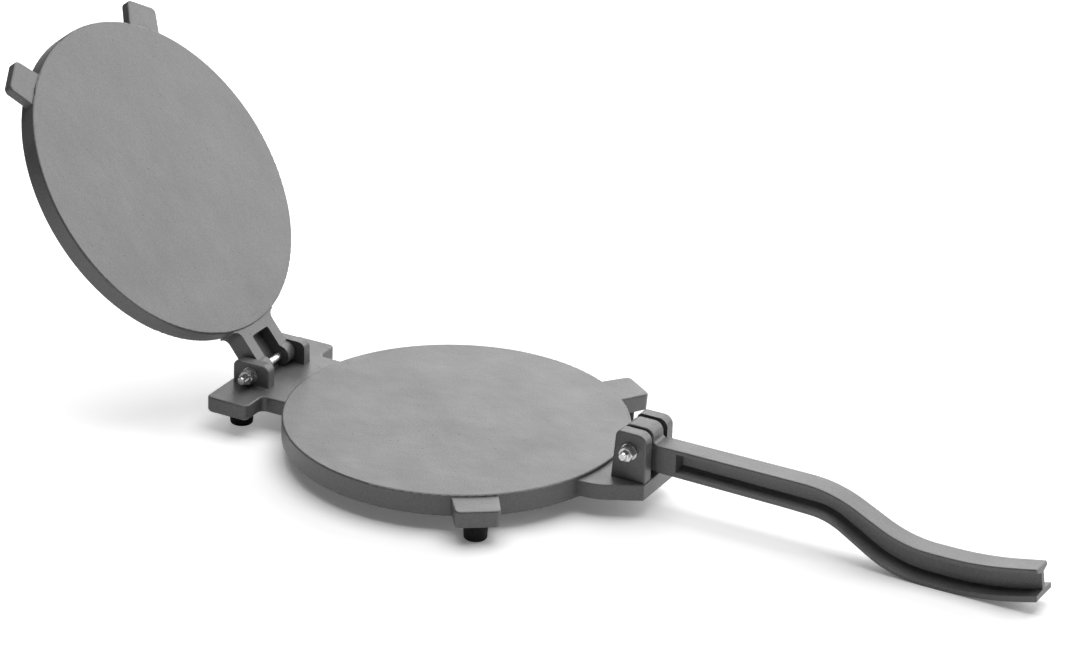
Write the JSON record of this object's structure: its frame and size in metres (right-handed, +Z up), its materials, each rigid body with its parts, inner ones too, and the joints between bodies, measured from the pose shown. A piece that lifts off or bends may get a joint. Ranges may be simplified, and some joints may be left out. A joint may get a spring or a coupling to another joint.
{
  "type": "tortilla press",
  "caption": "Cast-iron tortilla press standing open: round base on rubber feet, hinged round upper plate and a bent lever in a clevis that folds over to press.",
  "frame": {"origin": "centre of the base's round pressing face", "axes": "+Z up, out of the pressing face; +X from the hinge to the lever; front of the press at -Y"},
  "size_m": [0.6409, 0.2086, 0.2083],
  "materials": {
    "cast_iron": "satin",
    "plated_steel": "satin",
    "rubber": "matte"
  },
  "bodies": {
    "root": {"base_plate": "cast_iron", "hinge_bolt": "plated_steel", "hinge_nut": "plated_steel", "hinge_head_washer": "plated_steel", "hinge_nut_washer": "plated_steel", "pivot_bolt": "plated_steel", "pivot_nut": "plated_steel", "pivot_head_washer": "plated_steel", "pivot_nut_washer": "plated_steel", "foot_screw_hinge_front": "plated_steel", "foot_screw_hinge_back": "plated_steel", "foot_screw_lug_front": "plated_steel", "foot_screw_lug_back": "plated_steel", "foot_hinge_front": "rubber", "foot_hinge_back": "rubber", "foot_lug_front": "rubber", "foot_lug_back": "rubber"},
    "upper": {"upper_plate": "cast_iron"},
    "lever": {"lever": "cast_iron"}
  },
  "joints": [
    {"name": "plate_hinge", "type": "hinge", "parent": "root", "child": "upper", "pos_m": [-0.1254, 0, 0.0053], "axis": [0, 1, 0], "range_deg": [0, 128.43]},
    {"name": "lever_pivot", "type": "hinge", "parent": "root", "child": "lever", "pos_m": [0.1215, 0, 0.0165], "axis": [0, -1, 0], "range_deg": [0, 180]}
  ]
}
